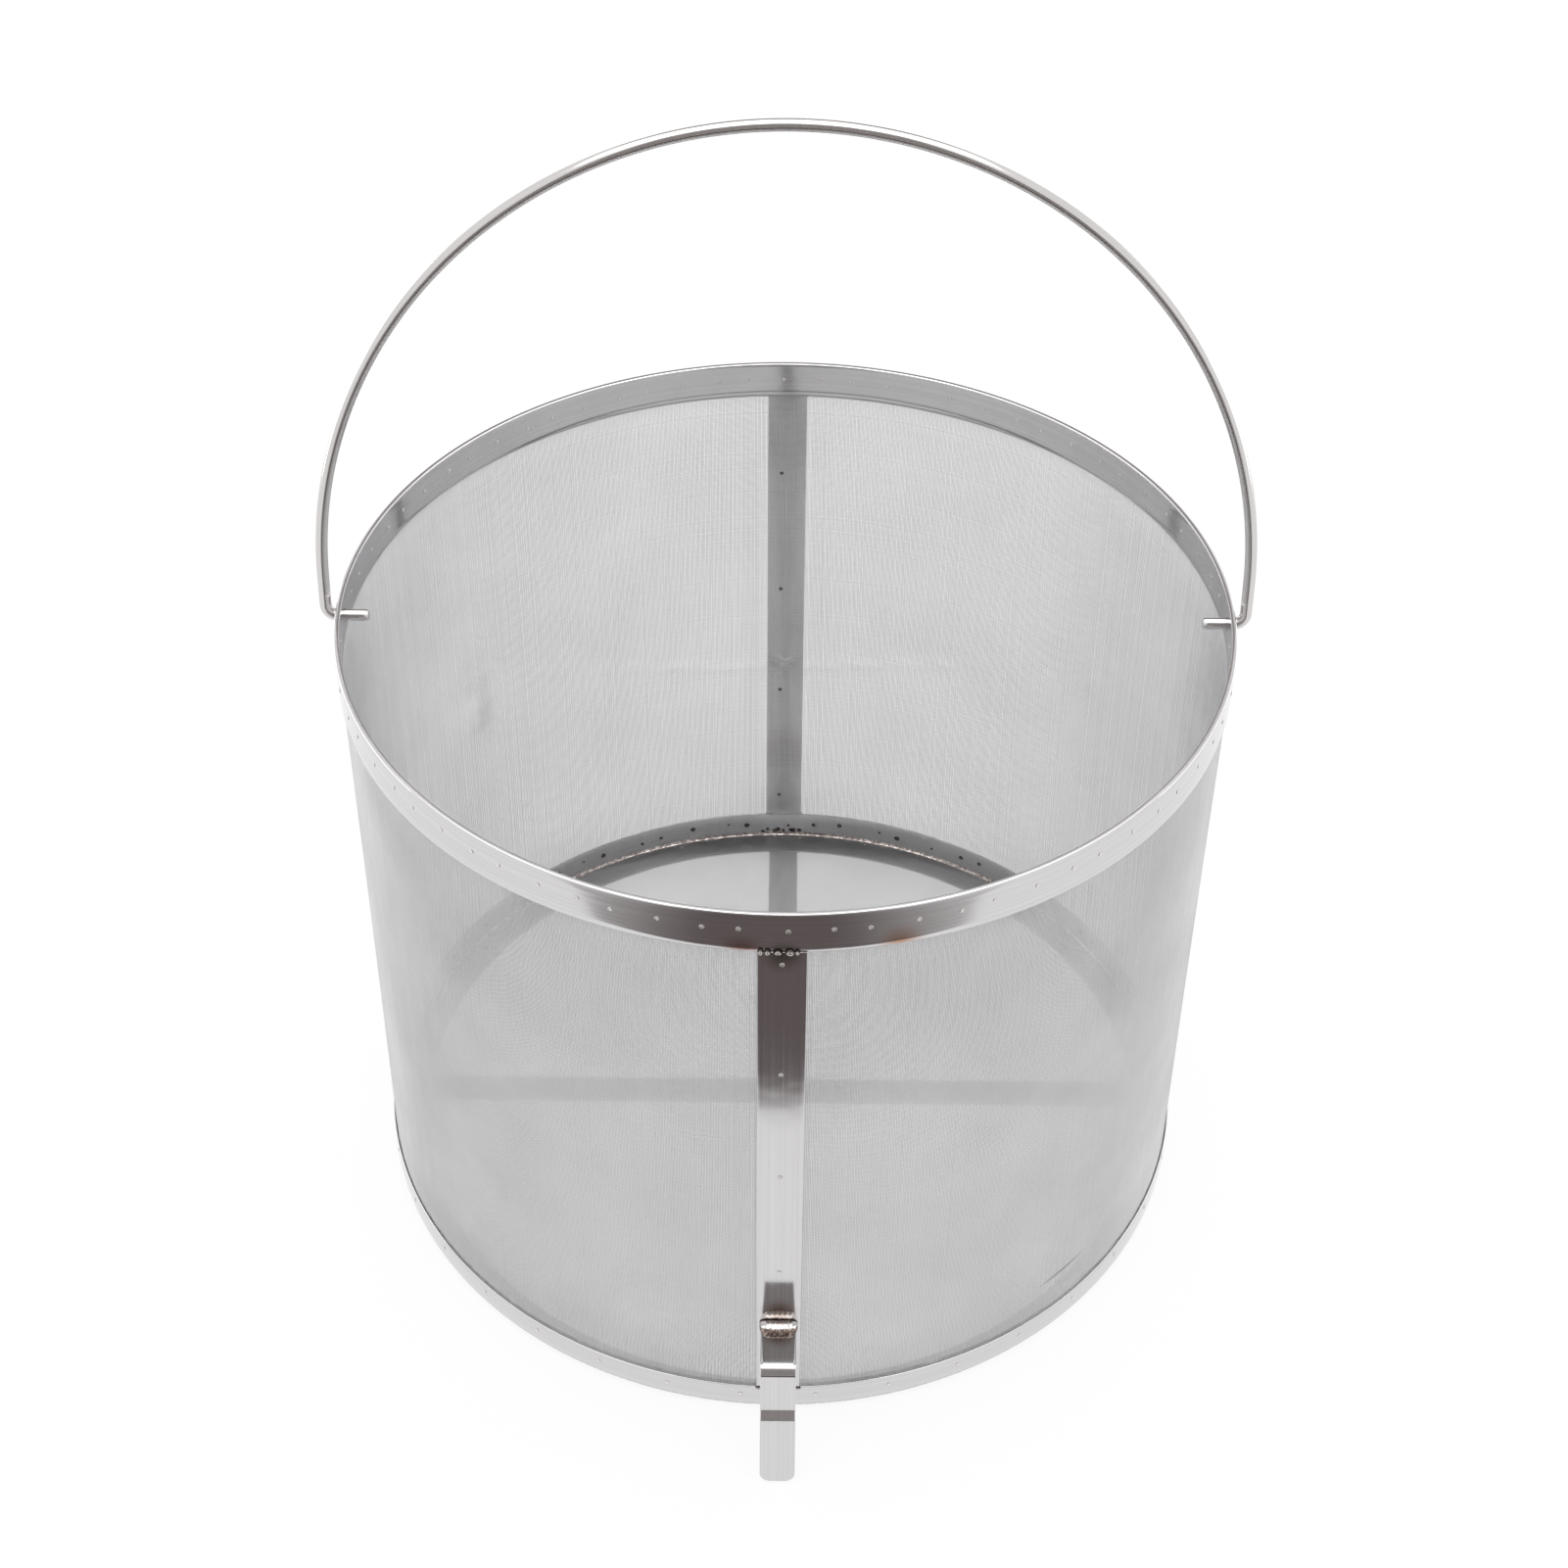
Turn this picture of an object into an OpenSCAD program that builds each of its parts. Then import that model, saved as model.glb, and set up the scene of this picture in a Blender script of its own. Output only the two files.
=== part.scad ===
// Stainless strainer basket: woven mesh wall and base, folded rim, base ring,
// two upright straps with drain hooks, and a wire bail that swings in the rim.
// The basket's axis is Z, it rests on z = 0, and its front faces -Y.

/* [Basket] */
// Outside diameter over the rim
basket_d = 300; // [220:1:420]
// Height from the resting plane to the top of the rim
basket_h = 240; // [150:1:360]
// Thickness of the woven mesh
mesh_t = 0.6; // [0.4:0.1:1.2]
// Thickness of the sheet in the rim and the base ring
sheet_t = 0.6; // [0.4:0.1:1]

/* [Mesh] */
// Number of openings round the wall, in the coarse grid that stands for the weave
wall_openings = 24; // [12:2:24]
// Number of rows of openings up the wall
wall_rows = 6; // [3:1:7]
// Width of the posts between the wall's openings
wall_post = 15; // [8:0.5:20]
// Height of the bars between the wall's rows
wall_bar = 13.5; // [6:0.5:14]
// Number of openings across the base
base_openings = 12; // [4:2:12]
// Width of the bars between the base's openings
base_bar = 8; // [4:0.5:10]

/* [Rim] */
// Height of the rim's outer leg
rim_outer_h = 15; // [12:0.5:24]
// Height of the rim's inner leg
rim_inner_h = 12.5; // [11:0.5:20]
// Number of spot welds round the rim
rim_weld_count = 72; // [24:1:96]
// Depth of the spot welds below the top of the rim
rim_weld_drop = 6.5; // [3:0.5:9]

/* [Base] */
// Height of the base ring's upright leg
ring_h = 12; // [10:0.5:20]
// Width of the base ring's flat leg, from its outer face
ring_flange_w = 12; // [9:0.5:25]
// Outside radius of the base ring's bend
ring_bend_r = 3; // [2:0.1:4]
// Number of spot welds round the base ring
ring_weld_count = 36; // [12:1:72]
// Width of the two strips that cross under the base
cross_strap_w = 12; // [8:0.5:25]
// Thickness of the strips that cross under the base
cross_strap_t = 0.6; // [0.4:0.1:1]
// Length of each slope where one strip steps over the other
joggle_run = 4; // [2:0.5:10]
// Room between the other strip and the foot of each slope's top
joggle_gap = 2; // [0.5:0.5:6]

/* [Straps] */
// Width of the upright straps
strap_w = 15; // [12:0.5:25]
// Thickness of the upright straps
strap_t = 1; // [0.6:0.1:2]
// Number of spot welds down each strap
strap_weld_count = 4; // [2:1:8]
// Height of the lowest spot weld on a strap
strap_weld_low = 76; // [60:1:90]
// Distance from the highest spot weld on a strap to the rim's lower edge
strap_weld_top_gap = 5; // [3:0.5:20]

/* [Hooks] */
// Width of the hook strip
hook_w = 12; // [8:0.5:20]
// Thickness of the hook strip
hook_t = 1.5; // [1:0.1:2.5]
// Height of the hook's upper face above the resting plane
hook_seat_z = 48.5; // [40:0.5:58]
// Distance from the strap's face to the outer face of the hook
hook_reach = 20; // [12:0.5:35]
// Outside radius of the hook's main bend
hook_bend_r = 4.2; // [3:0.1:6]
// Drop from the hook's upper face to the step in its leg
hook_drop = 20.5; // [12:0.5:21]
// Angle of the step in the hook's leg
step_angle = 45; // [35:1:85]
// Inside radius of the step's two bends
step_bend_r = 1; // [0.5:0.1:2]
// Straight length between the step's two bends
step_run = 2.3; // [0.5:0.1:3]
// Lean of the lip away from upright
lip_flare = 18; // [5:1:30]
// Straight length of the lip
lip_len = 24.5; // [10:0.5:25]
// Corner radius at the end of the lip
lip_corner_r = 3; // [1:0.1:4]

/* [Bail] */
// Diameter of the bail wire
wire_d = 4; // [3:0.1:6]
// Height of the arch's centre above the pins
bail_leg = 15; // [12:0.5:60]
// Lean of the bail towards the back, as it stands
bail_lean = 10; // [0:1:40]
// Centre-line radius of the bends at the pins
bail_bend_r = 4; // [4:0.1:8]
// Length of pin that shows inside the rim
pin_inside = 10; // [5:0.5:20]
// Straight pin left outside the rim before the bend
pin_outside = 0.2; // [0.1:0.1:2]
// Depth of the pins below the top of the rim
pivot_drop = 6.5; // [6:0.1:8]
// Radial room round a pin in its hole
pin_clearance = 0.3; // [0.2:0.05:0.6]
// Chamfer on the cut ends of the wire
wire_chamfer = 0.5; // [0.2:0.1:1]

/* [Welds] */
// Radius of a spot weld's mark
spot_r = 0.85; // [0.5:0.05:1.2]
// Height that a spot weld stands proud
spot_rise = 0.2; // [0.1:0.05:0.4]
// Number of nuggets along the joint of strap and rim
nugget_count = 5; // [3:1:5]
// Radius of a weld nugget
nugget_r = 1.3; // [0.8:0.1:1.4]
// Height that a weld nugget stands proud of the strap
nugget_rise = 0.8; // [0.3:0.1:0.8]
// Radius of the fillet bead on a hook
bead_r = 3.9; // [3:0.1:7]
// Distance from the strap's face to the centre of the bead's curve
bead_out = 1.9; // [0:0.1:2.5]
// Depth of the centre of the bead's curve below the hook's upper face
bead_sink = 1; // [0:0.1:1.5]
// Overhang of the bead past each edge of the hook
bead_overhang = 0.6; // [0:0.1:1.2]
// Width of the bead at the end of a cross strip
end_bead_w = 0.8; // [0.4:0.1:0.9]

/* [Hidden] */
$fn = 96;
// Extra length for cutting bodies
cut = 1;

// Radii of the layers, from the outside in
rim_r = basket_d/2;
wall_r = rim_r - sheet_t;
wall_in_r = wall_r - mesh_t;
rim_in_r = wall_in_r - sheet_t;
strap_face_r = wall_r + strap_t;

// Heights of the layers, from the resting plane up
ring_z = cross_strap_t;
base_z = ring_z + max(sheet_t, cross_strap_t);
wall_z = ring_z + ring_bend_r;
ring_top_z = ring_z + ring_h;
rim_bottom_z = basket_h - rim_outer_h;
pivot_z = basket_h - pivot_drop;

// Pitches of the openings in the mesh
wall_pitch_angle = 360/wall_openings;
wall_pitch_z = (rim_bottom_z - ring_top_z)/wall_rows;
base_pitch = 2*(rim_r - ring_flange_w)/base_openings;

// The fold at the top of the rim wraps the mesh
fold_r = sheet_t + mesh_t/2;
fold_z = basket_h - fold_r;

// The strips under the base end where the ring starts to bend
cross_end_r = rim_r - ring_bend_r - end_bead_w;

// Hook section: distance out from the strap's face, and height from the hook's upper face
shelf_run = hook_reach - hook_bend_r;
step_outer_r = step_bend_r + hook_t;
step_centre = [hook_reach + step_bend_r, -hook_drop];
turn_centre = step_centre - (step_bend_r + step_outer_r)*facing(step_angle) + step_run*along(step_angle);
lip_outer_tip = turn_centre + step_outer_r*facing(lip_flare) + lip_len*along(lip_flare);
lip_inner_tip = lip_outer_tip - hook_t*facing(lip_flare);
lip_end_z = hook_seat_z + lip_inner_tip[1];
// Number of flats that make each small bend of the step
step_flats = 12;

// The bail's legs stand clear of the rim
leg_x = rim_r + pin_outside + bail_bend_r;

// Puts a front piece at the back
module at_back() {
    rotate(180) children();
}

// Quarter, half or other part of a ring, in the plane
module arc_strip(r_in, r_out, from, to) {
    mid = (from + to)/2;
    far = 2*r_out;
    intersection() {
        difference() {
            circle(r = r_out);
            circle(r = r_in);
        }
        polygon([
            [0, 0], far*[cos(from), sin(from)], far*[cos(mid), sin(mid)], far*[cos(to), sin(to)]
        ]);
    }
}

// Holes through both sides of the rim for the bail's pins
module pin_holes() {
    translate([0, 0, pivot_z])
        rotate([0, 90, 0])
            cylinder(r = wire_d/2 + pin_clearance, h = 2*rim_r + 2*cut, center = true);
}

// Openings of the wall between the base ring and the rim, with a post behind each strap
module wall_grid() {
    opening_w = 2*wall_r*sin(wall_pitch_angle/2) - wall_post;
    opening_h = wall_pitch_z - wall_bar;
    near = wall_in_r*cos(wall_pitch_angle/2) - cut;
    for (i = [0:wall_openings - 1], row = [0:wall_rows - 1])
        rotate(-90 + (i + 0.5)*wall_pitch_angle)
            translate([near, -opening_w/2, ring_top_z + wall_bar/2 + row*wall_pitch_z])
                cube([wall_r + cut - near, opening_w, opening_h]);
}

// Tube of mesh between the base ring and the fold of the rim
module mesh_wall() {
    color([0.80, 0.80, 0.82])
        difference() {
            rotate_extrude()
                translate([wall_in_r, wall_z])
                    square([mesh_t, fold_z - wall_z]);
            pin_holes();
            wall_grid();
        }
}

// Openings of the base that lie whole inside the base ring's flat leg
module base_grid() {
    opening = base_pitch - base_bar;
    middle = (base_openings - 1)/2;
    for (i = [0:base_openings - 1], j = [0:base_openings - 1]) {
        centre = base_pitch*[i - middle, j - middle];
        far_corner = [abs(centre[0]), abs(centre[1])] + [opening, opening]/2;
        if (norm(far_corner) < rim_r - ring_flange_w)
            translate(centre) square(opening, center = true);
    }
}

// Flat disc of mesh that lies on the base ring's flat leg
module base_mesh() {
    color([0.78, 0.78, 0.80])
        translate([0, 0, base_z])
            linear_extrude(mesh_t)
                difference() {
                    circle(r = rim_r - ring_bend_r);
                    base_grid();
                }
}

// Strip folded over the top edge of the mesh
module rim_hem() {
    fold_x = wall_r - mesh_t/2;
    color([0.72, 0.70, 0.69])
        difference() {
            rotate_extrude() {
                translate([wall_r, rim_bottom_z])
                    square([sheet_t, fold_z - rim_bottom_z]);
                translate([rim_in_r, basket_h - rim_inner_h])
                    square([sheet_t, rim_inner_h - fold_r]);
                translate([fold_x, fold_z])
                    arc_strip(mesh_t/2, fold_r, 0, 180);
            }
            pin_holes();
        }
}

// Angle ring that holds the edges of the wall and of the base
module base_ring() {
    bend_x = rim_r - ring_bend_r;
    color([0.76, 0.75, 0.74])
        rotate_extrude() {
            translate([rim_r - ring_flange_w, ring_z])
                square([ring_flange_w - ring_bend_r, sheet_t]);
            translate([bend_x, wall_z])
                arc_strip(ring_bend_r - sheet_t, ring_bend_r, -90, 0);
            translate([wall_r, wall_z])
                square([sheet_t, ring_top_z - wall_z]);
        }
}

// Upright strap that follows the wall's curve, from the base ring to the rim
module strap() {
    strap_angle = strap_w/strap_face_r*180/PI;
    rotate(-90 - strap_angle/2)
        rotate_extrude(angle = strap_angle)
            translate([wall_r, ring_top_z])
                square([strap_t, rim_bottom_z - ring_top_z]);
}

module front_strap() {
    color([0.70, 0.68, 0.67])
        strap();
}

module back_strap() {
    color([0.66, 0.64, 0.63])
        at_back() strap();
}

// Flat strip under the base
module front_back_cross_strap() {
    color([0.66, 0.65, 0.64])
        translate([-cross_strap_w/2, -cross_end_r, 0])
            cube([cross_strap_w, 2*cross_end_r, cross_strap_t]);
}

// Strip under the base that steps over the other one
module left_right_cross_strap() {
    top_x = cross_strap_w/2 + joggle_gap;
    foot_x = top_x + joggle_run;
    rise = cross_strap_t;
    t = cross_strap_t;
    color([0.64, 0.63, 0.62])
        rotate([90, 0, 0])
            linear_extrude(cross_strap_w, center = true)
                polygon([
                    [-cross_end_r, 0], [-foot_x, 0], [-top_x, rise],
                    [top_x, rise], [foot_x, 0], [cross_end_r, 0],
                    [cross_end_r, t], [foot_x, t], [top_x, rise + t],
                    [-top_x, rise + t], [-foot_x, t], [-cross_end_r, t]
                ]);
}

// Direction that a strip's outer face looks, and the direction it runs, at a lean from upright
function facing(lean) = [cos(lean), sin(lean)];
function along(lean) = [sin(lean), -cos(lean)];

// Points round a bend, from one angle to the other
function bend(centre, r, from, to) =
    [for (i = [0:step_flats]) centre + r*facing(from + (to - from)*i/step_flats)];

// Side view of the hook: shelf, main bend, then the leg with its step and its lip
module hook_section() {
    translate([0, -hook_t])
        square([shelf_run, hook_t]);
    translate([shelf_run, -hook_bend_r])
        arc_strip(hook_bend_r - hook_t, hook_bend_r, 0, 90);
    polygon(concat(
        [[hook_reach - hook_t, -hook_bend_r]],
        bend(step_centre, step_outer_r, 180, 180 + step_angle),
        bend(turn_centre, step_bend_r, step_angle, lip_flare),
        [lip_inner_tip, lip_outer_tip],
        bend(turn_centre, step_outer_r, lip_flare, step_angle),
        bend(step_centre, step_bend_r, 180 + step_angle, 180),
        [[hook_reach, -hook_bend_r]]
    ));
}

// Front view of the hook, with the lip's corners rounded
module hook_front() {
    translate([-hook_w/2, lip_end_z + lip_corner_r])
        square([hook_w, hook_seat_z + cut - lip_end_z - lip_corner_r]);
    translate([-hook_w/2 + lip_corner_r, lip_end_z])
        square([hook_w - 2*lip_corner_r, 2*lip_corner_r]);
    for (side = [-1, 1])
        translate([side*(hook_w/2 - lip_corner_r), lip_end_z + lip_corner_r])
            circle(r = lip_corner_r);
}

// Drain hook: a shelf out from the strap, a leg down, and a flared lip to guide it over a rim
module hook() {
    intersection() {
        translate([0, -strap_face_r, hook_seat_z])
            rotate([90, 0, -90])
                linear_extrude(hook_w + 2*cut, center = true)
                    hook_section();
        rotate([90, 0, 0])
            linear_extrude(strap_face_r + 4*hook_reach)
                hook_front();
    }
}

module front_hook() {
    color([0.74, 0.73, 0.72])
        hook();
}

module back_hook() {
    color([0.74, 0.73, 0.72])
        at_back() hook();
}

// One end of the bail: the pin, its bend and the leg up to the arch
module bail_end() {
    wire_r = wire_d/2;
    pin_end_x = rim_in_r - pin_inside;
    bend_x = rim_r + pin_outside;
    translate([pin_end_x, 0, 0])
        rotate([0, 90, 0]) {
            cylinder(r1 = wire_r - wire_chamfer, r2 = wire_r, h = wire_chamfer);
            translate([0, 0, wire_chamfer])
                cylinder(r = wire_r, h = bend_x - pin_end_x - wire_chamfer);
        }
    translate([bend_x, 0, bail_bend_r])
        rotate([90, 0, 0])
            rotate(-90)
                rotate_extrude(angle = 90)
                    translate([bail_bend_r, 0])
                        circle(r = wire_r);
    translate([leg_x, 0, bail_bend_r])
        cylinder(r = wire_r, h = bail_leg - bail_bend_r);
}

// Bail of round wire, standing with a slight lean
module bail_handle() {
    color([0.82, 0.82, 0.82])
        translate([0, 0, pivot_z])
            rotate([-bail_lean, 0, 0]) {
                bail_end();
                mirror([1, 0, 0])
                    bail_end();
                translate([0, 0, bail_leg])
                    rotate([90, 0, 0])
                        rotate_extrude(angle = 180)
                            translate([leg_x, 0])
                                circle(r = wire_d/2);
            }
}

// Low buttons on a round face of radius face_r, at one height, one for each angle
module spots(face_r, z, angles) {
    for (angle = angles)
        rotate(angle)
            translate([face_r, 0, z])
                rotate([0, 90, 0])
                    cylinder(r = spot_r, h = spot_rise, $fn = 12);
}

module rim_spot_welds() {
    pitch = 360/rim_weld_count;
    color([0.84, 0.83, 0.82])
        spots(rim_r, basket_h - rim_weld_drop, [for (i = [0:rim_weld_count - 1]) (i + 0.5)*pitch]);
}

module ring_spot_welds() {
    pitch = 360/ring_weld_count;
    weld_z = (wall_z + ring_top_z)/2;
    color([0.82, 0.81, 0.80])
        spots(rim_r, weld_z, [for (i = [0:ring_weld_count - 1]) (i + 0.5)*pitch]);
}

module strap_spot_welds() {
    high = rim_bottom_z - strap_weld_top_gap;
    pitch = (high - strap_weld_low)/(strap_weld_count - 1);
    for (i = [0:strap_weld_count - 1])
        spots(strap_face_r, strap_weld_low + i*pitch, [-90]);
}

module front_strap_spot_welds() {
    color([0.84, 0.83, 0.82])
        strap_spot_welds();
}

module back_strap_spot_welds() {
    color([0.84, 0.83, 0.82])
        at_back() strap_spot_welds();
}

// Dome of a weld nugget, standing on the XY plane
module nugget_dome() {
    ball_r = (nugget_r*nugget_r + nugget_rise*nugget_rise)/(2*nugget_rise);
    rotate_extrude($fn = 48)
        intersection() {
            translate([0, nugget_rise - ball_r])
                circle(r = ball_r);
            square([nugget_r + cut, nugget_rise + cut]);
        }
}

// Nuggets on the joint between a strap and the band at its end.
// Each fills the step from the strap's face back to the band; side is 1 for a band above.
module nuggets(joint_z, side, across) {
    step = strap_face_r - rim_r;
    for (x = across)
        rotate(-90 + x/strap_face_r*180/PI)
            translate([strap_face_r, 0, joint_z])
                rotate([0, 90, 0]) {
                    nugget_dome();
                    translate([0, 0, -step])
                        intersection() {
                            cylinder(r = nugget_r, h = step);
                            translate([side > 0 ? -nugget_r : 0, -nugget_r, 0])
                                cube([nugget_r, 2*nugget_r, step]);
                        }
                }
}

module strap_rim_welds() {
    pitch = (strap_w - 2*nugget_r)/(nugget_count - 1);
    first = -(strap_w/2 - nugget_r);
    nuggets(rim_bottom_z, 1, [for (i = [0:nugget_count - 1]) first + i*pitch]);
}

module strap_ring_welds() {
    corner = strap_w/2 - nugget_r/2;
    nuggets(ring_top_z, -1, [-corner, corner]);
}

module front_strap_rim_welds() {
    color([0.60, 0.58, 0.56])
        strap_rim_welds();
}

module back_strap_rim_welds() {
    color([0.60, 0.58, 0.56])
        at_back() strap_rim_welds();
}

module front_strap_ring_welds() {
    color([0.60, 0.58, 0.56])
        strap_ring_welds();
}

module back_strap_ring_welds() {
    color([0.60, 0.58, 0.56])
        at_back() strap_ring_welds();
}

// Fillet bead in the corner above the hook's shelf
module hook_weld() {
    translate([0, -strap_face_r, hook_seat_z])
        rotate([90, 0, -90])
            linear_extrude(hook_w + 2*bead_overhang, center = true)
                intersection() {
                    translate([bead_out, -bead_sink])
                        circle(r = bead_r);
                    square(2*bead_r);
                }
}

module front_hook_weld() {
    color([0.62, 0.59, 0.57])
        hook_weld();
}

module back_hook_weld() {
    color([0.62, 0.59, 0.57])
        at_back() hook_weld();
}

// Flat beads at the four ends of the strips under the base
module cross_strap_end_welds() {
    color([0.60, 0.57, 0.54])
        for (angle = [0, 90, 180, 270])
            rotate(angle)
                translate([cross_end_r, -cross_strap_w/2, 0])
                    cube([end_bead_w, cross_strap_w, cross_strap_t]);
}

mesh_wall();
base_mesh();
rim_hem();
base_ring();
front_strap();
back_strap();
front_back_cross_strap();
left_right_cross_strap();
front_hook();
back_hook();
bail_handle();
rim_spot_welds();
ring_spot_welds();
front_strap_spot_welds();
back_strap_spot_welds();
front_strap_rim_welds();
back_strap_rim_welds();
front_strap_ring_welds();
back_strap_ring_welds();
front_hook_weld();
back_hook_weld();
cross_strap_end_welds();
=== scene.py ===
import bmesh
import bpy
import numpy as np
from mathutils import Matrix, Vector


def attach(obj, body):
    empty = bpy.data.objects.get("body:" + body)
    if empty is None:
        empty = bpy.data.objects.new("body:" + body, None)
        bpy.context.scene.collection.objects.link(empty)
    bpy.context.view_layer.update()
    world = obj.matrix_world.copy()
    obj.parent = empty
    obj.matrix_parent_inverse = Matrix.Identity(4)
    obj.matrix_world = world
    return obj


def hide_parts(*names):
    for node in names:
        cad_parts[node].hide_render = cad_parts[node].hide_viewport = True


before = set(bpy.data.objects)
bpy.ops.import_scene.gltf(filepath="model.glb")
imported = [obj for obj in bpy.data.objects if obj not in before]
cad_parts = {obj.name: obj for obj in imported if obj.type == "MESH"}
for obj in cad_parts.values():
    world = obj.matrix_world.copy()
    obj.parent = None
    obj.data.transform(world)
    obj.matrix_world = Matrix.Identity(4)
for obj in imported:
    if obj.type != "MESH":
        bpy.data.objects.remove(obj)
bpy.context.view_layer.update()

# Wall of the basket: fine stainless wire cloth in plain weave, rolled into a tube and lapped
# behind the back strap. Its top edge is pinched in the folded rim, its foot stands in the base ring.

mm = 0.001
# Radius of the cloth's middle, the radius at which lengths round the wall are counted, the ends of the
# upright wires, and the height up to which the base ring is bent.
cloth_r, round_r = 149.1, 149.0
cloth_foot, cloth_top = 2.6, 239.1
ring_bend_z = 3.6
upward = np.array([0, 0, 1.0])


def linear(colour):
    """Linear RGBA of an sRGB hex colour: a dark channel c gives c / 12.92, any other
    ((c + 0.055) / 1.055) ** 2.4."""
    c = np.array([int(colour[i:i + 2], 16) for i in (1, 3, 5)]) / 255
    return (*np.where(c > 0.04045, ((c + 0.055) / 1.055) ** 2.4, c / 12.92).tolist(), 1.0)


def add(tree, kind, feeds=None, **settings):
    """Adds a shader node: settings are its options, feeds give its inputs a value, a socket or
    a node's output."""
    made = tree.nodes.new("ShaderNode" + kind)
    for option, value in settings.items():
        setattr(made, option, value)
    for key, value in (feeds or {}).items():
        inputs = [s for s in made.inputs if s.enabled]
        target = inputs[key] if isinstance(key, int) else next(s for s in inputs if s.name == key)
        if isinstance(value, bpy.types.Node):
            value = next(s for s in value.outputs if s.enabled)
        if isinstance(value, bpy.types.NodeSocket):
            tree.links.new(value, target)
        else:
            target.default_value = value
    return made


def bare_finish(name):
    """A material with an empty node tree, ready for its own nodes."""
    finish = bpy.data.materials.new(name)
    finish.use_nodes = True
    finish.node_tree.nodes.clear()
    return finish, finish.node_tree


def surface(name, points, uv, layer="UVMap"):
    """Quads over one grid of points in mm, or several, with a UV at each point.
    Rows and columns that meet are welded, so tubes and poles close, and the faces are turned outwards."""
    grids = points.reshape(-1, *points.shape[-3:])
    index = np.arange(grids[..., 0].size).reshape(grids.shape[:3])
    quads = np.stack(
        [index[:, :-1, :-1], index[:, :-1, 1:], index[:, 1:, 1:], index[:, 1:, :-1]], -1).reshape(-1, 4)
    mesh = bpy.data.meshes.new(name)
    mesh.from_pydata((grids.reshape(-1, 3) * mm).tolist(), [], quads.tolist())
    corners = np.broadcast_to(uv, (*grids.shape[:3], 2)).reshape(-1, 2)[quads]
    mesh.uv_layers.new(name=layer).data.foreach_set("uv", corners.ravel())
    shell = bmesh.new()
    shell.from_mesh(mesh)
    bmesh.ops.remove_doubles(shell, verts=shell.verts, dist=0.002 * mm)
    bmesh.ops.recalc_face_normals(shell, faces=shell.faces)
    shell.to_mesh(mesh)
    shell.free()
    mesh.shade_smooth()
    piece = bpy.data.objects.new(name, mesh)
    bpy.context.scene.collection.objects.link(piece)
    return piece


def fit(piece, body, slot, finish, *solids):
    """Gives a piece its finish and its body, and lets it stand for the solids that it shows better."""
    piece.data.materials.append(finish)
    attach(piece, body)
    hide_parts(*solids)


def wires(name, lines, out, aside, thick, flat, across):
    """Round wires along many lines at once: at each station six points stand round the line at the wire's
    radius, in the directions out and aside, and a radius of zero closes an end. The UV map lays the cloth
    flat: flat gives the lines' own places on it and across the side that aside points to."""
    swing = np.radians(np.linspace(0, 360, 7))
    spread = np.cos(swing)[:, None] * out[..., None, :] + np.sin(swing)[:, None] * aside[..., None, :]
    uv = flat[..., None, :] + (thick[..., None] * np.sin(swing))[..., None] * np.array(across, float)
    low, high = uv.min((0, 1, 2)), uv.max((0, 1, 2))
    skin = lines[..., None, :] + thick[..., None, None] * spread
    return surface(name, skin, (uv - low) / (high - low), "OFBake")


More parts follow.
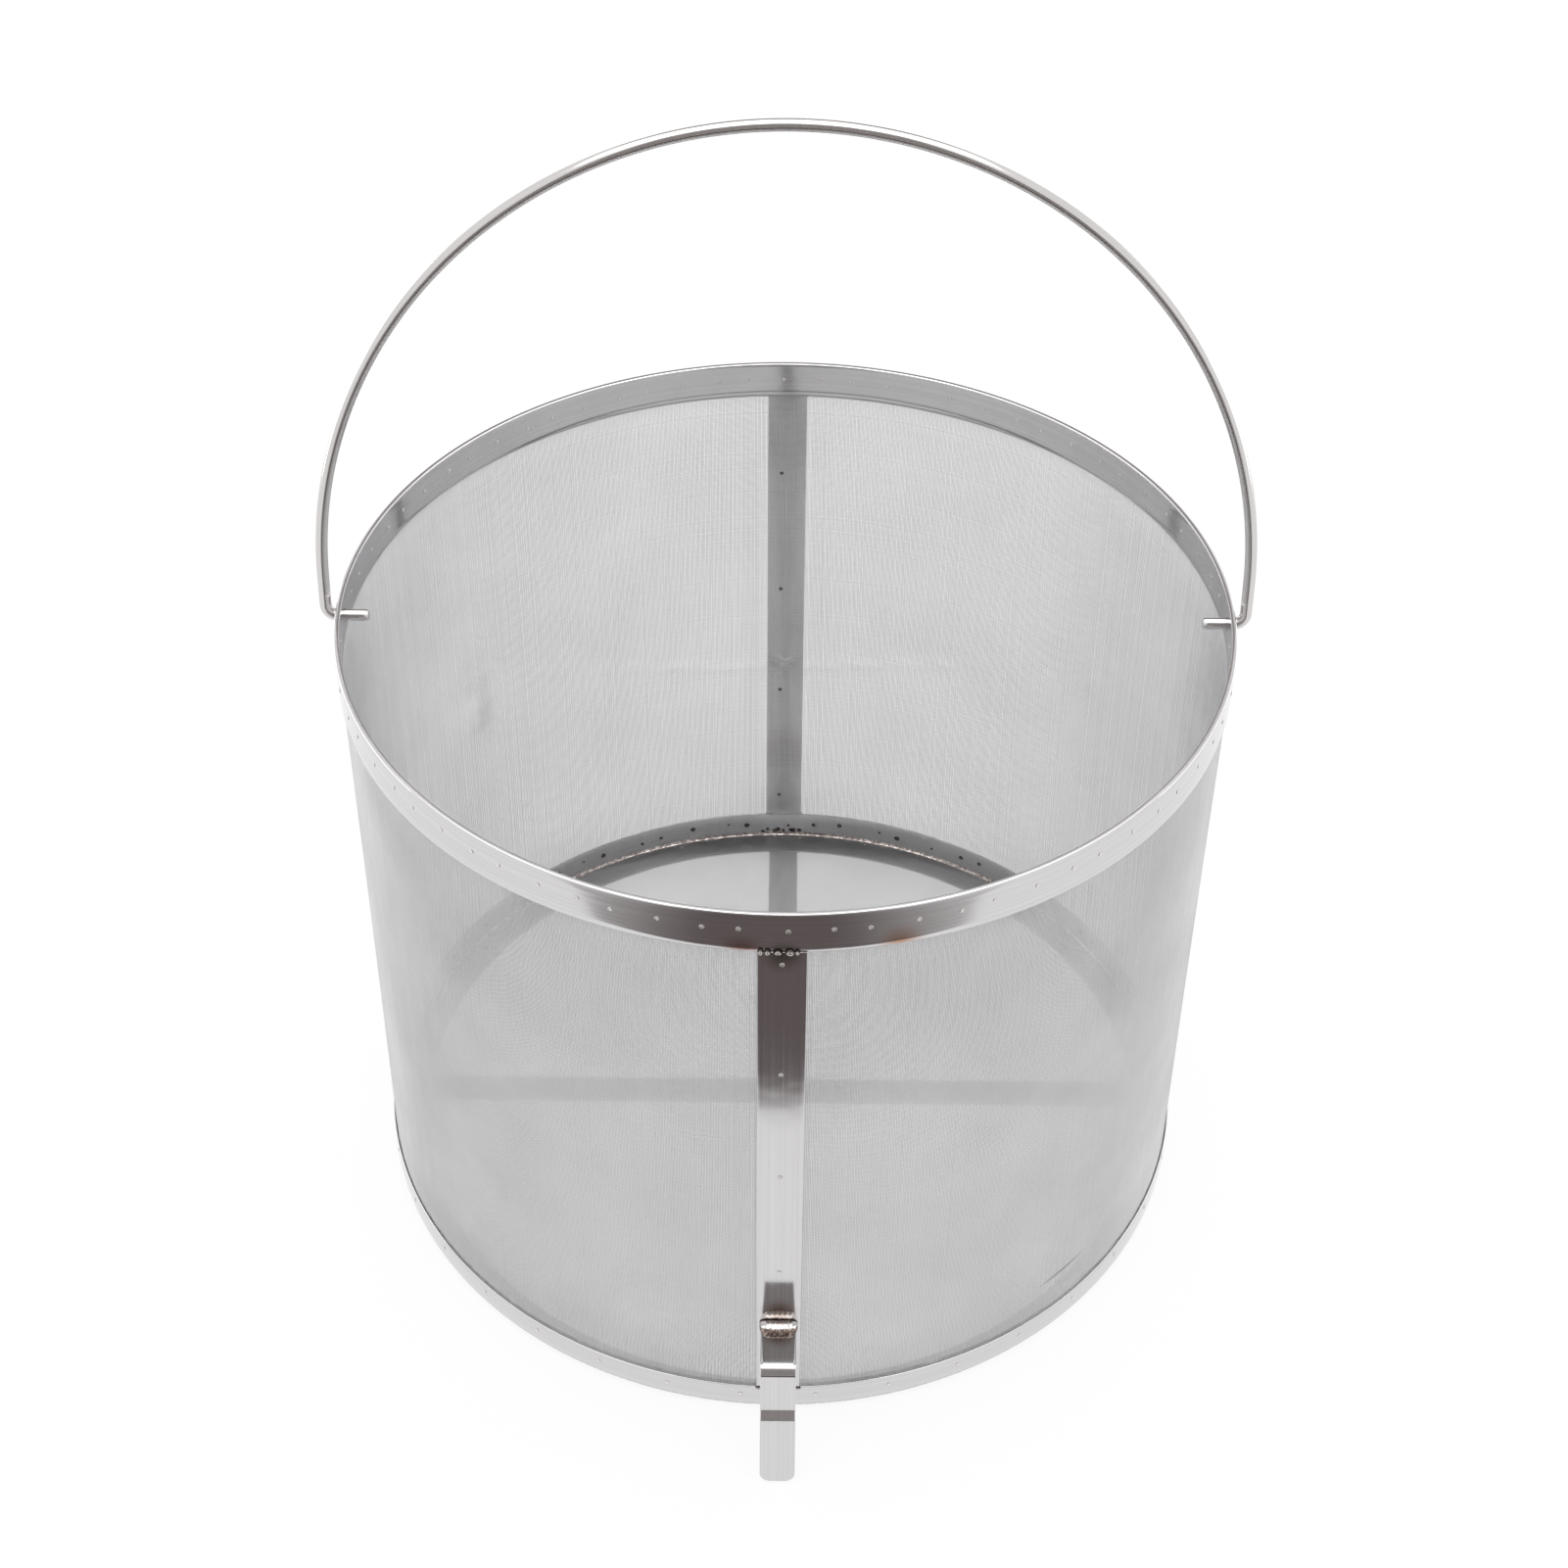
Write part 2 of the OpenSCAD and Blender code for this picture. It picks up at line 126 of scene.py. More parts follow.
def wire_cloth(name):
    """Stainless wire cloth: fine bright wires that catch the light on their crowns, with the openings
    between them. From a distance it reads as an even, satin, half-open grey, a little cloudy from rolling and
    washing. A line of painted shade darkens the cloth along the base ring's top edge, and one dark rub mark
    slants across the front."""
    finish, tree = bare_finish(name)
    place = add(tree, "TexCoord").outputs["Object"]
    patch = add(tree, "TexNoise", {"Vector": place, "Scale": 1 / (45 * mm), "Detail": 3.0})
    speck = add(tree, "TexNoise", {"Vector": place, "Scale": 1 / (3 * mm), "Detail": 1.0})
    fine_part = add(tree, "Math", {0: speck, 1: 0.3}, operation="MULTIPLY")
    shade = add(tree, "Math", {0: patch, 1: 0.7, 2: fine_part}, operation="MULTIPLY_ADD")
    colour = add(tree, "Mix", {
        0: add(tree, "MapRange", {0: shade, 1: 0.3, 2: 0.7}),
        1: linear("#CACACB"), 2: linear("#DADADB")}, data_type="RGBA")
    # Painted shade: a ragged dark line on the cloth just above the base ring's top edge, where the ring meets
    # the cloth.
    shade_line_z = 13.3
    height = add(tree, "SeparateXYZ", {0: place}).outputs[2]
    above_line = add(tree, "Math", {0: height, 1: shade_line_z * mm}, operation="SUBTRACT")
    off_line = add(tree, "Math", {0: above_line}, operation="ABSOLUTE")
    away_from_shade_line = add(tree, "MapRange", {0: off_line, 1: 0.2 * mm, 2: 0.7 * mm})
    ragged = add(tree, "Math", {0: away_from_shade_line, 1: speck}, operation="ADD")
    painted_shade_line = add(tree, "MapRange", {0: ragged, 1: 0.3, 2: 0.9, 3: 0.5, 4: 0.0})
    rub_angle, rub_z, rub_lean = np.radians(-47.7), 29, np.radians(-6)
    rub_centre = np.array([round_r * np.cos(rub_angle), round_r * np.sin(rub_angle), rub_z]) * mm
    rub_frame = add(tree, "Mapping", {
        "Vector": place, "Location": tuple(rub_centre), "Rotation": (0, rub_lean, rub_angle + np.pi / 2),
        "Scale": (13 * mm, 20 * mm, 1 * mm)}, vector_type="TEXTURE")
    rub = add(tree, "VectorMath", {0: rub_frame}, operation="LENGTH").outputs["Value"]
    rubbed = add(tree, "MapRange", {0: rub, 1: 0.2, 2: 1.0, 3: 0.7, 4: 0.0})
    # The painted shade line and the rub mark take the same dark colour.
    shade_line_and_rub = add(tree, "Math", {0: painted_shade_line, 1: rubbed}, operation="MAXIMUM")
    colour = add(tree, "Mix", {0: shade_line_and_rub, 1: colour, 2: linear("#6E6866")}, data_type="RGBA")
    rough = add(tree, "MapRange", {0: speck, 1: 0.3, 2: 0.7, 3: 0.45, 4: 0.6})
    cloth = add(tree, "BsdfPrincipled", {"Base Color": colour, "Metallic": 1.0, "Roughness": rough})
    add(tree, "OutputMaterial", {"Surface": cloth})
    return finish


def wall_radius(angle, height):
    """Between its stiff edges the cloth bows in by up to half a millimetre in long waves, and the straps at
    the front and back hold it against themselves. A finger dent at the left and a long handling crease across
    the back are smooth hollows in it."""
    degrees = np.degrees(angle) % 360
    waves = 0.3 + 0.16 * np.sin(5 * angle + 0.7) + 0.12 * np.sin(11 * angle + 2.0)
    bow = np.sin(np.pi * (height - ring_bend_z) / (cloth_top - ring_bend_z)) * waves
    held = np.exp(-((degrees % 180 - 90) / 4) ** 4)
    free_low, free_high, run_in = 13, 224, 4
    free = np.clip((height - free_low) / run_in, 0, 1) * np.clip((free_high - height) / run_in, 0, 1)
    bow = bow * (1 - held) - 0.18 * held * free
    dent = 1.3 * np.exp(-((degrees - 143) / 3.2) ** 2 - ((height - 120) / 9) ** 2)
    crease_z = 95 + 0.018 * (degrees - 92) ** 2
    crease = 0.5 * np.exp(-((height - crease_z) / 3) ** 2 - ((degrees - 90) / 30) ** 4)
    return cloth_r - bow - dent - crease


# Two wires to the millimetre, 0.18 mm thick, leave about two fifths of the cloth open. Their crimp is too
# small to show, so they run straight. No wire runs quite true: each sways by about a tenth of a millimetre
# in long waves, and strays a little from its even place.
pitch, wire_half = 0.5, 0.09
sway, stray = 0.12, 0.05


def strayed(count):
    """Uneven offsets for a row of wires: the sine of an angle that grows with the square of their number."""
    return stray * np.sin(1.7 * np.arange(count) ** 2)[:, None]


woven = wire_cloth("stainless_wire_cloth")
# The stations up the wall stand closer together where the crease and the dent are, and both ends close.
stations = np.r_[
    cloth_foot, cloth_foot, 40, 78, 90, 94, 98, 102, 107, 113, 120, 127, 136, 160, 190, 215,
    cloth_top, cloth_top]
upright_thick = np.r_[0, np.ones(len(stations) - 2), 0] * wire_half
# A round wire is drawn in 100 straight steps, and the upright wires stand on the same steps.
turns = np.radians(np.linspace(90, 450, 101))
turn_step = turns[1] - turns[0]
# The upright wires are drawn in halves and the round ones in thirds, to keep each mesh to a handy size.
half_count = 936
for half, first_angle in (("right", -90), ("left", 90)):
    bearings = np.radians(first_angle + (np.arange(half_count) + 0.5) * 180 / half_count)
    angle, height = np.meshgrid(bearings, stations, indexing="ij")
    angle = angle + (sway * np.sin(height / 37 + 6 * angle) + strayed(half_count)) / round_r
    on_step = np.cos(turn_step / 2) / np.cos((angle - np.pi / 2) % turn_step - turn_step / 2)
    outward = np.stack([np.cos(angle), np.sin(angle), 0 * angle], -1)
    sideways = np.stack([-np.sin(angle), np.cos(angle), 0 * angle], -1)
    lines = (wall_radius(angle, height) * on_step)[..., None] * outward + height[..., None] * upward
    upright = wires(
        "wall_upright_wires_" + half, lines, outward, sideways, np.broadcast_to(upright_thick, angle.shape),
        np.stack([round_r * angle, height], -1), (1, 0))
    fit(upright, "basket", "woven_mesh", woven, "mesh_wall")
for third, first_z, third_count in (("lower", 2.85, 158), ("middle", 81.85, 157), ("upper", 160.35, 157)):
    height, angle = np.meshgrid(first_z + np.arange(third_count) * pitch, turns, indexing="ij")
    height = height + sway * np.sin(5 * angle + height / 23) + strayed(third_count)
    outward = np.stack([np.cos(angle), np.sin(angle), 0 * angle], -1)
    lines = wall_radius(angle, height)[..., None] * outward + height[..., None] * upward
    round_about = wires(
        "wall_round_wires_" + third, lines, outward, np.broadcast_to(upward, outward.shape),
        np.full(angle.shape, wire_half), np.stack([round_r * angle, height], -1), (0, 1))
    fit(round_about, "basket", "woven_mesh", woven, "mesh_wall")

# Bottom of the basket: a flat disc of the same cloth, laid on the base ring's flat leg and spot welded
# to it, its weave slantwise to the strips that carry it. It sags very slightly between them.

bottom_r, bottom_z = 148.3, 1.75
sag, sag_r = 0.25, 148
row_count, along_count = 593, 10
rows = (np.arange(row_count) - row_count // 2) * pitch
row, share = np.meshgrid(rows, np.r_[-1, np.linspace(-1, 1, along_count), 1], indexing="ij")
reach = share * np.sqrt(bottom_r ** 2 - row ** 2)
sagged = bottom_z - sag * np.sin(np.pi * np.minimum(np.hypot(row, reach), sag_r) / sag_r) ** 2
bottom_thick = np.broadcast_to(np.r_[0, np.ones(along_count), 0] * wire_half, row.shape)
swayed = row + sway * np.sin(reach / 27 + row / 19)
weave_turn = np.radians(45)
slant = np.array([
    [np.cos(weave_turn), np.sin(weave_turn), 0], [-np.sin(weave_turn), np.cos(weave_turn), 0], [0, 0, 1]])
for name, flat, aside in (
        ("bottom_warp_wires", np.stack([reach, swayed], -1), (0.0, 1)),
        ("bottom_weft_wires", np.stack([swayed, reach], -1), (1.0, 0))):
    lines = np.concatenate([flat, sagged[..., None]], -1) @ slant
    bottom = wires(
        name, lines, np.broadcast_to(upward, lines.shape),
        np.broadcast_to(np.array([*aside, 0]) @ slant, lines.shape), bottom_thick, flat, aside)
    fit(bottom, "basket", "woven_mesh", woven, "base_mesh")

# Base ring: bright stainless strip rolled to an angle, one leg up round the wall, one flat under
# the bottom. It is joined to the cloth by a row of resistance spot welds.


def polished(name, grain, heat=(), coords="Object", gloss=(0.07, 0.14), seam=None):
    """Cold-rolled stainless strip with a bright finish: a soft mirror with faint rolling lines along the
    strip, a slow wobble in its reflections, and straw to brown heat tint round the welds.
    Grain is the line pattern's scale per metre on each axis; heat lists centre, reach and colour of each
    tint; gloss is the roughness from the brightest to the dullest patches; seam gives the radius, height and
    reach of a line of fused metal round the axis, brown with pale flecks."""
    finish, tree = bare_finish(name)
    place = add(tree, "TexCoord")
    here = place.outputs["Object"]
    stretched = add(tree, "Mapping", {"Vector": place.outputs[coords], "Scale": grain})
    rolling = add(tree, "TexNoise", {"Vector": stretched, "Scale": 1.0, "Detail": 3.0})
    cloud = add(tree, "TexNoise", {"Vector": here, "Scale": 1 / (22 * mm), "Detail": 2.0})
    colour = add(tree, "Mix", {
        0: add(tree, "MapRange", {0: rolling, 1: 0.3, 2: 0.7}),
        1: linear("#CFCDCE"), 2: linear("#D7D6D7")}, data_type="RGBA")
    for centre, reach, tint in heat:
        away = add(tree, "VectorMath", {0: here, 1: tuple(np.array(centre) * mm)}, operation="DISTANCE")
        ragged = add(tree, "Math", {0: cloud, 1: 0.7 * reach * mm, 2: away}, operation="MULTIPLY_ADD")
        burnt = add(tree, "MapRange", {
            0: ragged, 1: 0.3 * reach * mm, 2: 1.3 * reach * mm, 3: 0.75, 4: 0.0},
            interpolation_type="SMOOTHSTEP")
        colour = add(tree, "Mix", {0: burnt, 1: colour, 2: linear(tint)}, data_type="RGBA")
    if seam:
        seam_r, seam_z, seam_reach = seam
        flattened = add(tree, "VectorMath", {0: here, 1: (1, 1, 0)}, operation="MULTIPLY")
        out = add(tree, "VectorMath", {0: flattened}, operation="LENGTH")
        section = add(tree, "CombineXYZ", {0: out, 2: add(tree, "SeparateXYZ", {0: here}).outputs[2]})
        away = add(tree, "VectorMath", {0: section, 1: (seam_r * mm, 0, seam_z * mm)}, operation="DISTANCE")
        fused = add(tree, "MapRange", {0: away, 1: 0.5 * seam_reach * mm, 2: seam_reach * mm, 3: 0.9, 4: 0.0})
        fleck = add(tree, "TexNoise", {"Vector": here, "Scale": 1 / (1.1 * mm), "Detail": 2.0})
        bloom = add(tree, "Mix", {
            0: add(tree, "MapRange", {0: fleck, 1: 0.42, 2: 0.62}),
            1: linear("#6E605A"), 2: linear("#D8D0CA")}, data_type="RGBA")
        colour = add(tree, "Mix", {0: fused, 1: colour, 2: bloom}, data_type="RGBA")
    cloud_part = add(tree, "Math", {0: cloud, 1: 0.4}, operation="MULTIPLY")
    wear = add(tree, "Math", {0: rolling, 1: 0.6, 2: cloud_part}, operation="MULTIPLY_ADD")
    rough = add(tree, "MapRange", {0: wear, 1: 0.3, 2: 0.7, 3: gloss[0], 4: gloss[1]})
    wobble = add(tree, "Bump", {"Height": cloud, "Strength": 1.0, "Distance": 0.12 * mm})
    steel = add(tree, "BsdfPrincipled", {
        "Base Color": colour, "Metallic": 1.0, "Roughness": rough, "Normal": wobble})
    add(tree, "OutputMaterial", {"Surface": steel})
    return finish


def arc(centre, radius, start, end, steps):
    """Points round a bend, from one angle to another in degrees."""
    swing = np.radians(np.linspace(start, end, steps))
    return np.array(centre) + radius * np.stack([np.cos(swing), np.sin(swing)], -1)


def rolled(name, section):
    """Strip rolled into a ring: its section, distance from the axis and height, is drawn once round
    and turned."""
    turn = np.radians(np.linspace(90, 450, 361))
    out, height = section[:, :1], section[:, 1:]
    points = np.stack(np.broadcast_arrays(out * np.cos(turn), out * np.sin(turn), height), -1)
    over = np.cumsum(np.r_[0, np.hypot(*np.diff(section, axis=0).T)])[:, None]
    return surface(name, points, np.stack(np.broadcast_arrays(round_r * turn, over), -1) * mm)


# The edges of the strip are rounded by deburring. Its section runs up the outer leg, over the edge, down to
# the bend and in along the flat leg, and back underneath. Rolling lines are a few hundredths of a millimetre
# apart; they are drawn at about 0.8 mm so that they show.
outer_r, strip_t, sharp_angle = 150.0, 0.6, np.radians(40)
edge_r = strip_t / 2
ring_top, ring_bend_r, ring_inner_r = 12.6, 3.0, 138.0
ring_bend = (outer_r - ring_bend_r, ring_bend_z)
leg_middle_z, leg_middle_r = 8, 143
ring_under, ring_over = strip_t, 2 * strip_t
ring = rolled("rolled_base_ring", np.concatenate([
    np.linspace([outer_r, ring_bend_z], [outer_r, ring_top - edge_r], 4),
    arc((outer_r - edge_r, ring_top - edge_r), edge_r, 0, 180, 9)[1:],
    np.linspace([outer_r - strip_t, leg_middle_z], [outer_r - strip_t, ring_bend_z], 3),
    arc(ring_bend, ring_bend_r - strip_t, 0, -90, 9)[1:],
    [[leg_middle_r, ring_over], [ring_inner_r + edge_r, ring_over]],
    arc((ring_inner_r + edge_r, ring_under + edge_r), edge_r, 90, 270, 7)[1:],
    [[leg_middle_r, ring_under]],
    arc(ring_bend, ring_bend_r, -90, 0, 11)]))
ring.data.set_sharp_from_angle(angle=sharp_angle)
ring_steel = polished("bright_ring_strip", (4, 4, 1200), seam=(148.4, 2.0, 2.2))
fit(ring, "basket", "polished_strip", ring_steel, "base_ring")


def spot_mark(name, middle, edge, edge_start):
    """Fused spot of a weld: matt metal in the middle with an oxide edge that starts at a share of its radius;
    on the weld drops that near-black edge is partly oxide and partly painted shade where the drop meets the
    metal.
    UV runs from the middle of the mark to its edge."""
    finish, tree = bare_finish(name)
    place = add(tree, "TexCoord")
    out = add(tree, "SeparateXYZ", {0: place.outputs["UV"]}).outputs[0]
    speck = add(tree, "TexNoise", {"Vector": place.outputs["Object"], "Scale": 1 / (0.6 * mm), "Detail": 2.0})
    ragged = add(tree, "Math", {0: speck, 1: 0.3, 2: out}, operation="MULTIPLY_ADD")
    # The edge mask is oxide; on the weld drops it also carries painted shade.
    oxide = add(tree, "MapRange", {0: ragged, 1: edge_start + 0.15, 2: edge_start + 0.4})
    colour = add(tree, "Mix", {0: oxide, 1: linear(middle), 2: linear(edge)}, data_type="RGBA")
    rough = add(tree, "MapRange", {0: speck, 1: 0.3, 2: 0.7, 3: 0.22, 4: 0.42})
    fused = add(tree, "BsdfPrincipled", {"Base Color": colour, "Metallic": 1.0, "Roughness": rough})
    add(tree, "OutputMaterial", {"Surface": fused})
    return finish


def fused_marks(name, stand, centre, facing, wide, high):
    """Small round marks, each on its own place and side. At share p of its radius a mark stands out by
    stand(p), its outline is pulled out in three soft lobes, and a last row runs back to the middle and
    closes it."""
    share = np.array([0, 0.25, 0.5, 0.7, 0.85, 0.95, 1, 0])
    out = np.r_[stand(share[:-1]), 0][:, None, None]
    swing = np.radians(np.linspace(0, 360, 13))
    number = np.arange(len(centre))[:, None, None]
    lobe = share[:, None] * (1 + 0.06 * np.sin(3 * swing + 1.7 * number))
    centre, facing = np.asarray(centre, float), np.asarray(facing, float)
    side = np.cross(np.where(np.abs(facing[:, 2:]) > 0.9, [0, 1.0, 0], upward), facing)
    up = np.cross(facing, side)
    place = (lobe * np.cos(swing) * np.reshape(wide, (-1, 1, 1)))[..., None] * side[:, None, None]
    place = place + (lobe * np.sin(swing) * np.reshape(high, (-1, 1, 1)))[..., None] * up[:, None, None]
    points = centre[:, None, None] + place + out * facing[:, None, None]
    return surface(name, points, np.stack(np.broadcast_arrays(share[:, None], swing), -1))


def crater(share):
    """Spot weld: the electrode leaves a shallow dish with a raised brim, (1 - p^6)(0.3 + 0.7 p^2) of
    its rise."""
    rise = 0.2 / 0.62
    return rise * (1 - share ** 6) * (0.3 + 0.7 * share ** 2)


def round_wall(radius, angles, heights, side=1):
    """Places on a round wall and the way that they face, outwards or inwards."""
    bearing = np.radians(angles)
    facing = np.stack([np.cos(bearing), np.sin(bearing), 0 * bearing], -1)
    lifted = np.broadcast_to(heights, bearing.shape)[..., None] * upward
    return np.reshape(radius, (-1, 1)) * facing + lifted, side * facing


spot_r = 0.85
weld_spot = spot_mark("fused_weld_spot", "#E6E4E2", "#BDB8B4", 0.7)
burnt_spot = spot_mark("burnt_weld_spot", "#7D7672", "#4A4340", 0.35)
ring_places = round_wall(outer_r, np.arange(36) * 10 + 5.0, 8.1)
ring_spots = fused_marks("ring_spots", crater, *ring_places, spot_r, spot_r)
fit(ring_spots, "basket", "weld", weld_spot, "ring_spot_welds")
# Inside, the welds have burnt dark dots into the wall's cloth, and left bright flecks where the bottom's edge
# is fused. A row of heavier burns runs along the foot of the back strap.
mark, foot = np.arange(72), np.arange(8)
burn_angles = mark * 5 + 1.1 * np.sin(mark * 2.4)
foot_angles = 87.4 + 0.85 * foot + 0.25 * np.sin(foot * 2.2)
burn_heights = np.r_[7.4 + 0.9 * np.sin(mark * 1.3), 3.9 + 0.7 * np.sin(foot * 3.3)]
burn_size = np.r_[0.85 + 0.35 * np.sin(mark * 3.7), 0.9 + 0.25 * np.sin(foot * 1.7)]
burns = round_wall(148.95, np.r_[burn_angles, foot_angles], burn_heights, -1)
inner_spots = fused_marks("ring_inner_spots", crater, *burns, burn_size, burn_size)
fit(inner_spots, "basket", "weld", burnt_spot, "ring_spot_welds")
fleck_places = round_wall(146.6 + 0.7 * np.sin(mark * 2.9), burn_angles + 2.2, 1.86)[0]
fleck_wide, fleck_high = 0.55 + 0.2 * np.sin(mark * 1.9), 0.4
flecks = fused_marks(
    "bottom_spots", crater, fleck_places, np.tile(upward, (len(mark), 1)), fleck_wide, fleck_high)
fit(flecks, "basket", "weld", weld_spot, "ring_spot_welds")

# Strips under the bottom: two bright strips that cross and carry the cloth, one joggled over
# the other, their ends run in under the base ring and closed with a short bead.


def recoat(solid, finish):
    """Puts a finish on a solid that keeps its own shape."""
    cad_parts[solid].material_slots[0].material = finish


def weld_bead(name, scale):
    """Fused weld metal: lumpy silver with dark oxide in the hollows and a straw bloom; scale is the lump
    size in mm."""
    finish, tree = bare_finish(name)
    place = add(tree, "TexCoord").outputs["Object"]
    lump = add(tree, "TexNoise", {"Vector": place, "Scale": 1 / (scale * mm), "Detail": 3.0})
    bloom = add(tree, "TexNoise", {"Vector": place, "Scale": 1 / (3.5 * scale * mm), "Detail": 1.0})
    silver = add(tree, "Mix", {
        0: add(tree, "MapRange", {0: bloom, 1: 0.45, 2: 0.7}),
        1: linear("#D5D0CC"), 2: linear("#B39A88")}, data_type="RGBA")
    colour = add(tree, "Mix", {
        0: add(tree, "MapRange", {0: lump, 1: 0.25, 2: 0.45, 3: 0.8, 4: 0.0}),
        1: silver, 2: linear("#6E625C")}, data_type="RGBA")
    rough = add(tree, "MapRange", {0: lump, 1: 0.3, 2: 0.7, 3: 0.28, 4: 0.12})
    relief = add(tree, "Bump", {"Height": lump, "Strength": 0.5, "Distance": 0.05 * scale * mm})
    metal = add(tree, "BsdfPrincipled", {
        "Base Color": colour, "Metallic": 1.0, "Roughness": rough, "Normal": relief})
    add(tree, "OutputMaterial", {"Surface": metal})
    return finish


satin = (0.4, 0.5)
recoat("front_back_cross_strap", polished("satin_strip_lengthways", (1200, 5, 1200), gloss=satin))
recoat("left_right_cross_strap", polished("satin_strip_crossways", (5, 1200, 1200), gloss=satin))
recoat("cross_strap_end_welds", weld_bead("flat_weld_bead", 0.8))

# Rim: bright strip folded down over both faces of the cloth and spot welded through, with a round
# hole at each side for the bail. The welder's heat has tinted its lower edge in three places.

# Its section runs up the outer leg, over the flattened fold, down the inner leg and back between the legs.
# The edges are rounded.
rim_foot, rim_top, rim_fold_r = 225.0, 240.0, 0.5
rim_inner_r, rim_inner_foot, inner_start_z = 148.2, 226.5, 238
rim = rolled("folded_rim", np.concatenate([
    np.linspace([outer_r, rim_foot + edge_r], [outer_r, rim_top - rim_fold_r], 8),
    arc((outer_r - rim_fold_r, rim_top - rim_fold_r), rim_fold_r, 0, 90, 9)[1:],
    arc((rim_inner_r + rim_fold_r, rim_top - rim_fold_r), rim_fold_r, 90, 180, 9),
    np.linspace([rim_inner_r, inner_start_z], [rim_inner_r, rim_inner_foot + edge_r], 7),
    arc((rim_inner_r + edge_r, rim_inner_foot + edge_r), edge_r, 180, 360, 7)[1:],
    arc((cloth_r, cloth_top), edge_r, 180, 0, 17),
    arc((outer_r - edge_r, rim_foot + edge_r), edge_r, 180, 360, 7)]))
# The two pin holes are drilled through both legs.
pivot_z, hole_r, drill_end = 233.5, 2.3, 160
bore = np.radians(np.linspace(0, 360, 49))
drill_x = np.array([-drill_end, -drill_end, drill_end, drill_end])[:, None]
drill_r = np.array([0, hole_r, hole_r, 0])[:, None]
drill_points = np.stack(
    np.broadcast_arrays(drill_x, drill_r * np.cos(bore), pivot_z + drill_r * np.sin(bore)), -1)
drill = surface("drill", drill_points, np.zeros((*drill_points.shape[:2], 2)))
drilled = rim.modifiers.new("pin_holes", "BOOLEAN")
drilled.operation, drilled.solver, drilled.object = "DIFFERENCE", "EXACT", drill
bpy.context.view_layer.update()
rim.data = bpy.data.meshes.new_from_object(rim.evaluated_get(bpy.context.evaluated_depsgraph_get()))
rim.modifiers.clear()
bpy.data.objects.remove(drill)
rim.data.set_sharp_from_angle(angle=sharp_angle)
rim_steel = polished("bright_rim_strip", (4, 4, 1200), heat=(
    ((-11.4, -149.6, 224), 9, "#9A5F4C"), ((35, -145.9, 225), 9, "#B08058"), ((0, -150, 224), 7, "#5A504C")))
fit(rim, "basket", "polished_strip", rim_steel, "rim_hem")
rim_angles = mark * 5 + 0.5 + 0.5 * np.sin(mark * 2.1)
rim_heights = pivot_z + 0.3 * np.sin(mark * 3.1)
rim_spots = fused_marks("rim_spots", crater, *round_wall(outer_r, rim_angles, rim_heights), spot_r, spot_r)
fit(rim_spots, "basket", "weld", weld_spot, "rim_spot_welds")
rim_inside = round_wall(rim_inner_r, rim_angles, rim_heights, -1)
rim_inner_spots = fused_marks("rim_inner_spots", crater, *rim_inside, 0.75, 0.75)
fit(rim_inner_spots, "basket", "weld", weld_spot, "rim_spot_welds")

# Straps: two upright bright strips outside the wall, front and back, from base ring to rim.
# Each is spot welded through the cloth and fused to the rim with a row of small nuggets.

strap_middle_r, strap_face_r = 149.9, 150.4


def strip_profile(width, thick, corner):
    """Round-cornered strip section, drawn once round: a corner is a quarter circle in four steps, and each
    flat has a point close to its corners, so that the flats stay flat in the light."""
    half = np.array([width / 2 - corner, thick / 2 - corner])
    corners = (((1, 1), 0), ((-1, 1), 90), ((-1, -1), 180), ((1, -1), 270))
    arcs = [arc(half * side, corner, start, start + 90, 5) for side, start in corners]
    along = np.array([0.06, 0.3, 0.7, 0.94])[:, None]
    flats = [a[-1] + (b[0] - a[-1]) * along for a, b in zip(arcs, arcs[1:] + arcs[:1])]
    loop = np.concatenate([part for pair in zip(arcs, flats) for part in pair])
    return np.concatenate([loop, loop[:1]])


def strap(name, facing, heat):
    """The section is bent to the wall's radius and carried straight up; each end closes to its middle."""
    section = strip_profile(15, 1, 0.22)
    heights = np.r_[
        ring_top, ring_top, ring_top + 0.15, np.linspace(ring_top + 0.6, rim_foot - 0.6, 60),
        rim_foot - 0.15, rim_foot, rim_foot][:, None]
    swell = np.r_[0, np.ones(len(heights) - 2), 0][:, None]
    across = section[:, 0] * swell
    out = strap_middle_r + section[:, 1] * swell
    bearing = np.radians(facing) + across / strap_face_r
    points = np.stack(np.broadcast_arrays(out * np.cos(bearing), out * np.sin(bearing), heights), -1)
    uv = np.stack(np.broadcast_arrays(across, heights), -1) * mm
    steel = polished("bright_" + name, (1200, 1200, 6), heat)
    fit(surface(name + "_strip", points, uv), "basket", "polished_strip", steel, name)


strap("front_strap", -90, (
    ((0, -strap_face_r, 224), 9, "#6B5B55"), ((0, -strap_face_r, 55), 8, "#A08A7C")))
strap("back_strap", 90, (
    ((0, strap_face_r, 224), 9, "#6B5B55"), ((0, strap_face_r, 55), 8, "#A08A7C"),
    ((0, 149.4, 50), 22, "#8A7B74")))


def nugget(share):
    """Drop of weld metal: half a squashed ball."""
    return 1.2 * np.sqrt(1 - share ** 2)


# The drops' near-black edge is partly oxide and partly painted shade, where each drop sits on the metal.
nugget_metal = spot_mark("weld_nugget", "#C9C4C0", "#3E3734", 0.55)
strap_levels, burnt_levels = np.linspace(76, 220, 4), np.array([24.0, 82, 134, 190])
